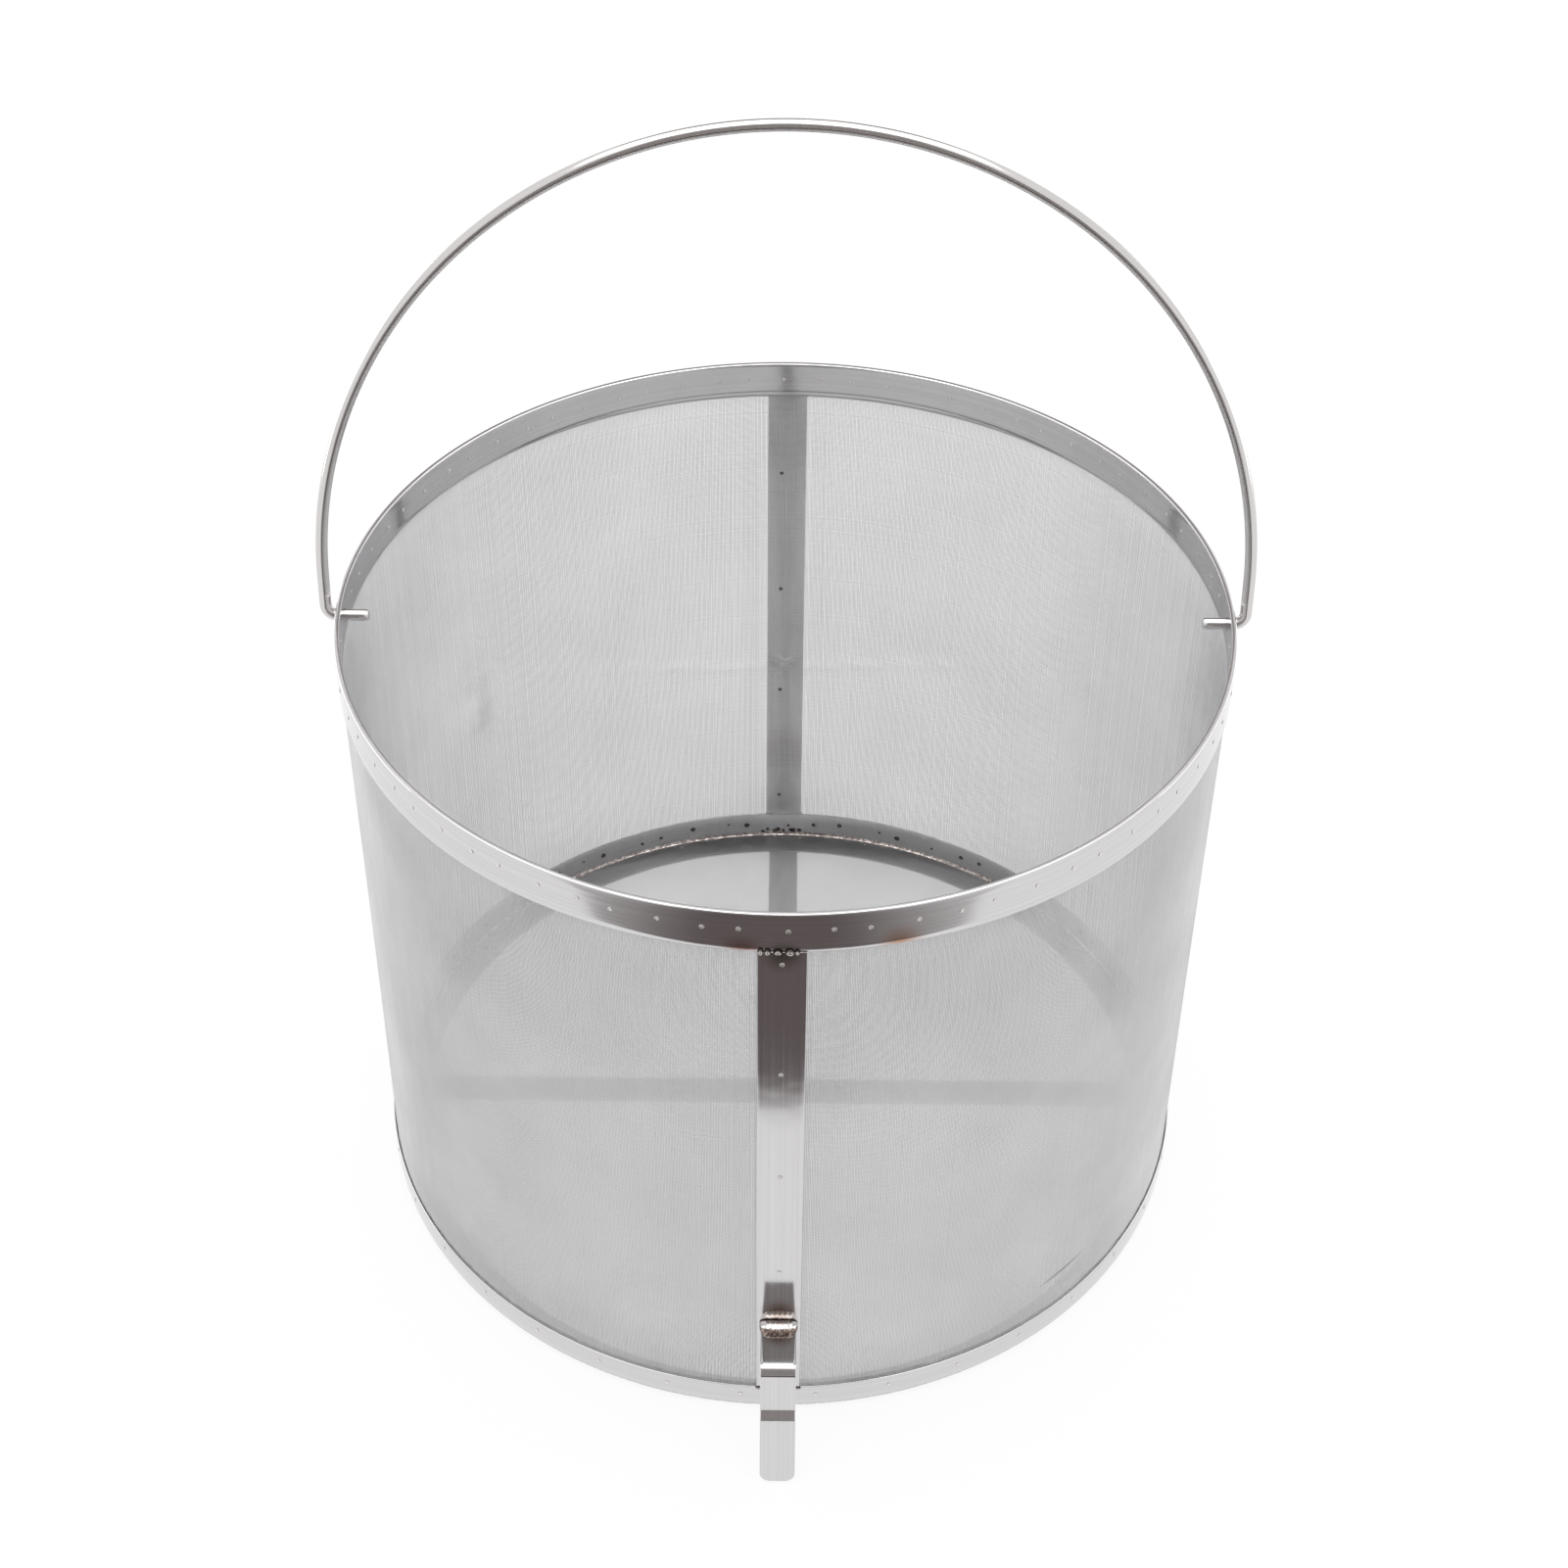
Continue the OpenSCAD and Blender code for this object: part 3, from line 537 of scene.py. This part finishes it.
# The drops run along the joint from one edge of the strap, no two alike.
drop_across = np.array([-6.5, -4.4, -1.3, 2.3, 4.5])
drop_wide = np.array([0.9, 1.05, 1.5, 1.5, 0.8])
drop_high = np.array([1.25, 1.1, 0.85, 1.3, 0.9])
foot_across = np.array([-6.85, 6.85])
for name, facing in (("front_strap", -90), ("back_strap", 90)):
    outside = round_wall(strap_face_r, np.full(4, facing), strap_levels)
    spots = fused_marks(name + "_spots", crater, *outside, spot_r, spot_r)
    fit(spots, "basket", "weld", weld_spot, name + "_spot_welds")
    inner_face = wall_radius(np.radians(facing), burnt_levels) - wire_half
    inside = round_wall(inner_face, np.full(4, facing + 0.8), burnt_levels, -1)
    burnt_through = fused_marks(name + "_inner_spots", crater, *inside, 0.8, 0.8)
    fit(burnt_through, "basket", "weld", burnt_spot, name + "_spot_welds")
    joint = round_wall(outer_r, facing + np.degrees(drop_across / outer_r), rim_foot)
    drops = fused_marks(name + "_rim_nuggets", nugget, *joint, drop_wide, drop_high)
    fit(drops, "basket", "weld", nugget_metal, name + "_rim_welds")
    feet = round_wall(outer_r, facing + np.degrees(foot_across / outer_r), ring_top)
    foot_drops = fused_marks(name + "_ring_nuggets", nugget, *feet, 1.0, 0.8)
    fit(foot_drops, "basket", "weld", nugget_metal, name + "_ring_welds")

# Drain hooks: bent bright strip, a shelf out from the strap, a leg down, a step and a flared lip.
# A fillet of weld in the corner above the shelf holds each hook to its strap.

hook_w, hook_t, seat_z = 12, 1.5, 48.5
lip_corner_r = 3
hook_steel = polished("bright_hook_strip", (1200, 6, 1), coords="UV", heat=(
    ((0, -154, seat_z), 7, "#8A7B74"), ((0, 154, seat_z), 7, "#8A7B74")))


def bent_line(legs, start, heading):
    """Line of straight and bent legs, each given by its length, its turn in degrees and its number of steps:
    the heading is carried along the length and its cosine and sine are summed into points."""
    step = np.concatenate([np.full(n, length / n) for length, _, n in legs])
    swing = np.radians(np.concatenate([np.full(n, turn / n) for _, turn, n in legs]))
    after = np.radians(heading) + np.cumsum(swing)
    middle = after - swing / 2
    moves = step[:, None] * np.stack([np.cos(middle), np.sin(middle)], -1)
    points = np.concatenate([[start], start + np.cumsum(moves, 0)])
    return points, np.r_[np.radians(heading), after], np.r_[0, np.cumsum(step)]


def hook(name, facing):
    """Strip section carried along the bent line; at its end it narrows as a quarter circle, which rounds
    the lip."""
    shelf, main_bend, leg = (15.8, 0, 8), (5.42, -90, 14), (16.3, 0, 6)
    step_out, step_run, step_in = (1.374, 45, 8), (2.3, 0, 3), (0.825, -27, 6)
    lip, lip_end = (21.5, 0, 8), (lip_corner_r, 0, 8)
    legs = (shelf, main_bend, leg, step_out, step_run, step_in, lip, lip_end)
    line, lean, run = bent_line(legs, np.array([0, seat_z - hook_t / 2]), 0)
    section = strip_profile(hook_w, hook_t, 0.35)
    half_w, corner = hook_w / 2, lip_corner_r
    left = np.clip(run[-1] - run, 0, corner)
    rounding = np.sqrt(np.clip(corner ** 2 - (corner - left) ** 2, 0, corner ** 2))
    narrow = (half_w - corner + rounding) / half_w
    ends = [0, *range(len(run)), len(run) - 1]
    swell = np.r_[0, np.ones(len(run)), 0]
    across = section[:, 0] * (narrow[ends] * swell)[:, None]
    lift = section[:, 1] * swell[:, None]
    out = strap_face_r + line[ends, 0][:, None] - lift * np.sin(lean[ends])[:, None]
    up = line[ends, 1][:, None] + lift * np.cos(lean[ends])[:, None]
    points = np.stack([-across * facing, out * facing, up], -1)
    uv = np.stack(np.broadcast_arrays(across, run[ends][:, None]), -1) * mm
    fit(surface(name + "_strip", points, uv), "basket", "polished_strip", hook_steel, name)


hook("front_hook", -1)
hook("back_hook", 1)


def fillet_metal(name):
    """Fused fillet: a near-white middle band, partly bright fused metal and partly a painted highlight, brown
    bloom with flecks on the lower half and dark oxide along the edge at the strap. UV runs along the bead in
    metres and over it from the hook's edge, 0, to the strap's, 1."""
    finish, tree = bare_finish(name)
    place = add(tree, "TexCoord")
    over = add(tree, "SeparateXYZ", {0: place.outputs["UV"]}).outputs[1]
    fleck = add(tree, "TexNoise", {"Vector": place.outputs["Object"], "Scale": 1 / (0.9 * mm), "Detail": 2.0})
    ragged = add(tree, "Math", {0: fleck, 1: 0.25, 2: over}, operation="MULTIPLY_ADD")
    bloom = add(tree, "Mix", {
        0: add(tree, "MapRange", {0: fleck, 1: 0.4, 2: 0.62}),
        1: linear("#6A5B55"), 2: linear("#B5A49A")}, data_type="RGBA")
    # The near-white band over the middle of the bead is partly bright fused metal and partly a painted
    # highlight.
    crown_and_painted_highlight = add(tree, "MapRange", {0: ragged, 1: 0.5, 2: 0.62})
    colour = add(tree, "Mix", {0: crown_and_painted_highlight, 1: bloom, 2: linear("#EFEDEB")}, data_type="RGBA")
    burnt = add(tree, "MapRange", {0: ragged, 1: 0.95, 2: 1.1})
    colour = add(tree, "Mix", {0: burnt, 1: colour, 2: linear("#5E4F49")}, data_type="RGBA")
    rough = add(tree, "MapRange", {0: fleck, 1: 0.3, 2: 0.7, 3: 0.3, 4: 0.16})
    metal = add(tree, "BsdfPrincipled", {"Base Color": colour, "Metallic": 1.0, "Roughness": rough})
    add(tree, "OutputMaterial", {"Surface": metal})
    return finish


bead_r, bead_out, bead_sink, bead_half = 3.9, 1.9, 1.0, 6.6
bead_metal = fillet_metal("fused_fillet_weld")


def fillet(name, facing):
    """Weld fillet: a round section about a centre a little out from the strap and below the hook's face, from
    the hook's face to the strap's. It swells and falls a little with each ripple along the bead and is drawn
    in to nothing at each end."""
    first, last = np.arcsin(bead_sink / bead_r), np.pi - np.arccos(bead_out / bead_r)
    along, share = np.meshgrid(np.linspace(-1, 1, 73), np.linspace(0, 1, 17), indexing="ij")
    swing = first + share * (last - first)
    full = np.sqrt(1 - np.abs(along) ** 5)
    swell = full * (0.97 + 0.03 * np.cos(along * 24 + 3 * share) * np.sin(np.pi * share))
    out = strap_face_r + swell * np.maximum(bead_out + bead_r * np.cos(swing), 0)
    up = seat_z + swell * np.maximum(bead_r * np.sin(swing) - bead_sink, 0)
    # The section is closed along the strap and the shelf.
    corner = np.ones((len(along), 1))
    out = np.concatenate([out, strap_face_r * corner, out[:, :1]], 1)
    up = np.concatenate([up, seat_z * corner, up[:, :1]], 1)
    over = np.concatenate([share, corner, 0 * corner], 1)
    across = np.broadcast_to(bead_half * along[:, :1], out.shape)
    points = np.stack([-across * facing, out * facing, up], -1)
    bead = surface(name + "_bead", points, np.stack([across * mm, over], -1))
    fit(bead, "basket", "weld", bead_metal, name)


fillet("front_hook_weld", -1)
fillet("back_hook_weld", 1)

# Bail handle: one length of bright drawn stainless wire, bent to an arch with a short leg and a
# turned-in pin at each end. The pins pass through the rim's holes and the bail swings on them.


def drawn_wire(name):
    """Bright drawn wire: a sharp mirror stretched along the wire by faint die lines. UV runs along and
    round it."""
    finish, tree = bare_finish(name)
    place = add(tree, "TexCoord")
    stretched = add(tree, "Mapping", {"Vector": place.outputs["UV"], "Scale": (8, 2500, 1)})
    die_lines = add(tree, "TexNoise", {"Vector": stretched, "Scale": 1.0, "Detail": 2.0})
    cloud = add(tree, "TexNoise", {"Vector": place.outputs["Object"], "Scale": 1 / (15 * mm), "Detail": 2.0})
    colour = add(tree, "Mix", {0: die_lines, 1: linear("#C6C3C1"), 2: linear("#E0DEDD")}, data_type="RGBA")
    rough = add(tree, "MapRange", {0: cloud, 1: 0.3, 2: 0.7, 3: 0.08, 4: 0.18})
    wire = add(tree, "BsdfPrincipled", {"Base Color": colour, "Metallic": 1.0, "Roughness": rough})
    add(tree, "OutputMaterial", {"Surface": wire})
    return finish


# The wire is drawn from the cut end of one pin, round the arch, to the cut end of the other, and then leant
# back about the line through the pins.
wire_r, chamfer, bail_bend_r, arch_r = 2.0, 0.5, 4.0, 154.2
pin_end, bail_lean = 140.0, np.radians(10)
cut_end, pin, bend, leg = (chamfer, 0, 1), (9.7, 0, 3), (bail_bend_r * np.pi / 2, 90, 10), (11, 0, 4)
arch = (arch_r * np.pi, 180, 160)
bail_line, bail_heading, bail_run = bent_line(
    (cut_end, pin, bend, leg, arch, leg, bend, pin, cut_end), np.array([pin_end, 0]), 0)
ends = [0, *range(len(bail_run)), len(bail_run) - 1]
bail_thick = np.full(len(bail_run), wire_r)
bail_thick[[0, -1]] -= chamfer
bail_thick = (bail_thick[ends] * np.r_[0, np.ones(len(bail_run)), 0])[:, None]
about = np.radians(np.linspace(0, 360, 25))
away, beside = bail_thick * np.cos(about), bail_thick * np.sin(about)
bail_x = bail_line[ends, 0][:, None] - away * np.sin(bail_heading[ends])[:, None]
bail_up = bail_line[ends, 1][:, None] + away * np.cos(bail_heading[ends])[:, None]
bail_points = np.stack([
    bail_x, beside * np.cos(bail_lean) + bail_up * np.sin(bail_lean),
    pivot_z + bail_up * np.cos(bail_lean) - beside * np.sin(bail_lean)], -1)
bail_uv = np.stack(np.broadcast_arrays(bail_run[ends][:, None], wire_r * about), -1) * mm
bail = surface("bail_wire", bail_points, bail_uv)
fit(bail, "bail", "bright_wire", drawn_wire("bright_drawn_wire"), "bail_handle")

# Stage: a white board under the basket, a dark flag on it at the front, and a grey card behind the
# camera and one behind the basket. The flag and the cards show only in the metal's reflections.


def flat_board(name, x_span, y_span, z_span):
    """Flat four-cornered board between two corners; a board that stands has one y."""
    (x0, x1), (y0, y1), (z0, z1) = x_span, y_span, z_span
    points = np.array([[[x0, y0, z0], [x1, y0, z0]], [[x0, y1, z1], [x1, y1, z1]]], float)
    board = surface(name, points, np.array([[[0, 0], [1, 0]], [[0, 1], [1, 1]]], float))
    return board


def looked_at(tree):
    """One for what the camera or a reflection sees, nought for light that bounces."""
    path = add(tree, "LightPath")
    seen = add(tree, "Math", {
        0: path.outputs["Is Camera Ray"], 1: path.outputs["Is Glossy Ray"]}, operation="MAXIMUM")
    return add(tree, "Math", {0: seen, 1: path.outputs["Is Transmission Ray"]}, operation="MAXIMUM")


def board_paint(name, colour, fade=(), glow=None):
    """Matt board. Fade gives the shares of its width and length over which its edges thin out to nothing;
    glow is how far it turns plain white where it is looked at, and the rest of it keeps the soft shadow."""
    finish, tree = bare_finish(name)
    paint = add(tree, "BsdfDiffuse", {"Color": linear(colour)})
    if glow:
        lit = add(tree, "Math", {0: looked_at(tree), 1: glow}, operation="MULTIPLY")
        paint = add(tree, "MixShader", {0: lit, 1: paint, 2: add(tree, "Emission", {"Strength": 1.0})})
    if fade:
        at = add(tree, "SeparateXYZ", {0: add(tree, "TexCoord").outputs["UV"]})
        cover = 1.0
        for axis, share in enumerate(fade):
            off = add(tree, "Math", {0: at.outputs[axis], 1: 0.5}, operation="SUBTRACT")
            off = add(tree, "Math", {0: off}, operation="ABSOLUTE")
            edge = add(tree, "MapRange", {0: off, 1: 0.5, 2: 0.5 - share}, interpolation_type="SMOOTHSTEP")
            cover = add(tree, "Math", {0: cover, 1: edge}, operation="MULTIPLY")
        paint = add(tree, "MixShader", {0: cover, 1: add(tree, "BsdfTransparent"), 2: paint})
    add(tree, "OutputMaterial", {"Surface": paint})
    return finish


floor = flat_board("white_board", (-6000, 6000), (-6000, 6000), (0, 0))
floor.data.materials.append(board_paint("matt_white_board", "#FAFAFA", glow=0.9))
flag_paint = board_paint("dark_flag", "#635B5A", fade=(0.42, 0.026))
card_paint = board_paint("grey_card", "#8E8A88", fade=(0.08, 0.03))
for card, paint in (
        (flat_board("front_flag", (-448, 416), (-1100, -284), (0.5, 0.5)), flag_paint),
        (flat_board("back_card", (-420, 420), (1100, 1100), (0, 1250)), card_paint),
        (flat_board("camera_card", (-500, 500), (-1100, -1100), (0, 1550)), card_paint)):
    card.data.materials.append(paint)
    card.visible_camera = card.visible_diffuse = card.visible_shadow = card.visible_transmission = False

# Light: a white tent all round, one large soft box above the basket and a low one at each side.
# The tent is plain white to the camera and in reflections, and a little lower as light.

tent = bpy.data.worlds.new("white_tent")
bpy.context.scene.world = tent
tent.use_nodes = True
tent_tree = tent.node_tree
tent_tree.nodes.clear()
tent_level = add(tent_tree, "MapRange", {0: looked_at(tent_tree), 3: 0.7, 4: 1.0})
tent_white = add(tent_tree, "Background", {"Color": (1, 1, 1, 1), "Strength": tent_level})
add(tent_tree, "OutputWorld", {"Surface": tent_white})

aim = Vector((0, 0.1, 0.12))
for name, wide, high, watts, place in (
        ("soft_box_above", 1.8, 1.8, 19, (0, 0.1, 1.6)),
        ("soft_box_left", 1.2, 0.45, 3, (-1.1, 0.5, 0.24)),
        ("soft_box_right", 1.2, 0.45, 2.6, (1.1, 0.5, 0.24))):
    lamp = bpy.data.lights.new(name, "AREA")
    lamp.shape, lamp.size, lamp.size_y, lamp.energy = "RECTANGLE", wide, high, watts
    soft_box = bpy.data.objects.new(name, lamp)
    bpy.context.scene.collection.objects.link(soft_box)
    facing_aim = (Vector(place) - aim).to_track_quat("Z", "Y").to_matrix().to_4x4()
    soft_box.matrix_world = Matrix.Translation(place) @ facing_aim

# Camera: at the photograph's place, 41 degrees above the basket, with the frame's slight roll.

eye = bpy.data.cameras.new("camera")
eye.lens, eye.sensor_width, eye.clip_start = 62.29, 36, 0.01
camera = bpy.data.objects.new("camera", eye)
bpy.context.scene.collection.objects.link(camera)
dip, roll = np.radians(41.102), np.radians(0.574)
forward = np.array([0, np.cos(dip), -np.sin(dip)])
right, over_head = np.array([1.0, 0, 0]), np.array([0, np.sin(dip), np.cos(dip)])
rolled_right = np.cos(roll) * right + np.sin(roll) * over_head
rolled_up = np.cos(roll) * over_head - np.sin(roll) * right
camera.matrix_world = Matrix(np.stack([rolled_right, rolled_up, -forward], 1).tolist()).to_4x4()
camera.location = (0, -0.723, 0.7909)
bpy.context.scene.camera = camera
bpy.context.scene.view_settings.view_transform = "Standard"
